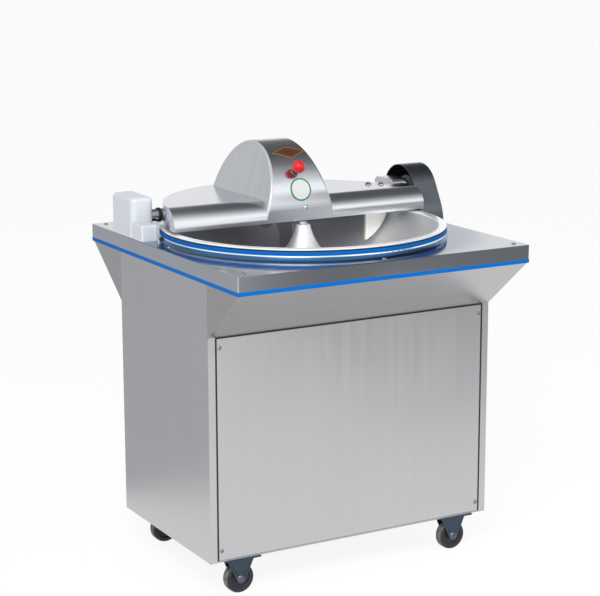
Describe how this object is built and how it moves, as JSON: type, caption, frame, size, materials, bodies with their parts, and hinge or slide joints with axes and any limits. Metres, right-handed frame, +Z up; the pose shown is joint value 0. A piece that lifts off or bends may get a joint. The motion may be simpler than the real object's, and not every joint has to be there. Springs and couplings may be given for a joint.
{
  "type": "bowl cutter",
  "caption": "Floor-standing stainless bowl cutter: a turning ring-trough bowl in a flared table, sickle knives under a hinged arched hood, and a cabinet on casters.",
  "frame": {"origin": "centre of the overall box at floor level", "axes": "+X right, +Y back, +Z up; the operator stands at -Y"},
  "size_m": [0.757, 0.718, 0.9111],
  "materials": {
    "panel_steel": "vertical satin grain",
    "table_steel": "bright rolled finish",
    "hood_steel": "polished sheet with fine streaks",
    "bowl_steel": "spun satin, turned rings",
    "guard_steel": "satin dark grey",
    "frame_steel": "satin grey primer",
    "knife_steel": "ground blades",
    "shaft_steel": "turned and polished",
    "bearing_steel": "bright ground rings",
    "trim_blue": "smooth blue strip",
    "cover_white": "moulded white",
    "nylon": "milled cream nylon",
    "knob_red": "polished red ball",
    "wheel_rubber": "black with a grey worn tread",
    "fork_paint": "zinc plated, bluish",
    "case_iron": "painted castings with turned rims",
    "motor_paint": "satin blue-grey enamel",
    "belt_rubber": "matte black",
    "wheel_bronze": "turned bronze",
    "black_plastic": "moulded black"
  },
  "bodies": {
    "cabinet": {"apron_trim": "trim_blue", "base_plate": "frame_steel", "bearing_housing": "hood_steel", "belt_guard": "guard_steel", "bowl_collar": "table_steel", "cabinet_frame": "frame_steel", "cabinet_screws": "shaft_steel", "cable_cover": "cover_white", "cable_gland": "black_plastic", "caster_axles": "shaft_steel", "caster_fork_front_left": "fork_paint", "caster_fork_front_right": "fork_paint", "caster_fork_rear_left": "fork_paint", "caster_fork_rear_right": "fork_paint", "collar_trim": "trim_blue", "front_flare": "panel_steel", "front_panel": "panel_steel", "gearbox_case": "case_iron", "gearbox_rails": "frame_steel", "hinge_bracket": "frame_steel", "hinge_cover": "cover_white", "knife_bearings": "bearing_steel", "knife_belt": "belt_rubber", "limit_switch": "black_plastic", "motor": "motor_paint", "motor_bench": "frame_steel", "rear_flare": "panel_steel", "rear_panel": "panel_steel", "side_panel_left": "panel_steel", "side_panel_right": "panel_steel", "spindle_bearing": "bearing_steel", "table_top": "table_steel", "worm_belt": "belt_rubber"},
    "bowl": {"bowl": "bowl_steel", "bowl_spindle": "shaft_steel", "bowl_bolt": "shaft_steel", "worm_wheel": "wheel_bronze"},
    "knife_set": {"knife_shaft": "shaft_steel", "knife_1": "knife_steel", "knife_2": "knife_steel", "knife_3": "knife_steel", "knife_spacers": "shaft_steel", "knife_nut": "shaft_steel", "knife_pulley": "case_iron"},
    "motor_rotor": {"motor_shaft": "shaft_steel", "motor_pulley": "case_iron", "worm_drive_pulley": "case_iron"},
    "worm": {"worm_shaft": "shaft_steel", "worm_pulley": "case_iron"},
    "hood": {"hood": "hood_steel", "hood_arm": "shaft_steel", "hinge_pin": "shaft_steel", "knob": "knob_red", "scraper": "nylon", "scraper_bracket": "shaft_steel", "scraper_bolts": "shaft_steel"},
    "wheel_front_left": {"wheel_front_left": "wheel_rubber"},
    "wheel_front_right": {"wheel_front_right": "wheel_rubber"},
    "wheel_rear_left": {"wheel_rear_left": "wheel_rubber"},
    "wheel_rear_right": {"wheel_rear_right": "wheel_rubber"}
  },
  "joints": [
    {"name": "motor_spin", "type": "hinge", "parent": "cabinet", "child": "motor_rotor", "pos_m": [-0.0285, 0.1, 0.23], "axis": [1, 0, 0], "continuous": true},
    {"name": "knife_spin", "type": "hinge", "parent": "cabinet", "child": "knife_set", "pos_m": [-0.0285, 0.15, 0.768], "axis": [1, 0, 0], "continuous": true},
    {"name": "worm_spin", "type": "hinge", "parent": "cabinet", "child": "worm", "pos_m": [-0.0285, -0.06, 0.5], "axis": [1, 0, 0], "continuous": true},
    {"name": "bowl_spin", "type": "hinge", "parent": "cabinet", "child": "bowl", "pos_m": [-0.0285, 0, 0.7], "axis": [0, 0, 1], "continuous": true},
    {"name": "hood_open", "type": "hinge", "parent": "cabinet", "child": "hood", "pos_m": [-0.3445, 0.165, 0.759], "axis": [0, -1, 0], "range_deg": [0, 45]},
    {"name": "roll_front_left", "type": "hinge", "parent": "cabinet", "child": "wheel_front_left", "pos_m": [-0.2985, -0.193, 0.0325], "axis": [0, 1, 0], "continuous": true},
    {"name": "roll_front_right", "type": "hinge", "parent": "cabinet", "child": "wheel_front_right", "pos_m": [0.2415, -0.193, 0.0325], "axis": [0, 1, 0], "continuous": true},
    {"name": "roll_rear_left", "type": "hinge", "parent": "cabinet", "child": "wheel_rear_left", "pos_m": [-0.2985, 0.172, 0.0325], "axis": [0, 1, 0], "continuous": true},
    {"name": "roll_rear_right", "type": "hinge", "parent": "cabinet", "child": "wheel_rear_right", "pos_m": [0.2415, 0.172, 0.0325], "axis": [0, 1, 0], "continuous": true}
  ],
  "couplings": [
    {"joint": "knife_spin", "follows": "motor_spin", "ratio": 1.8667},
    {"joint": "worm_spin", "follows": "motor_spin", "ratio": 0.56522},
    {"joint": "bowl_spin", "follows": "motor_spin", "ratio": 0.0157}
  ]
}
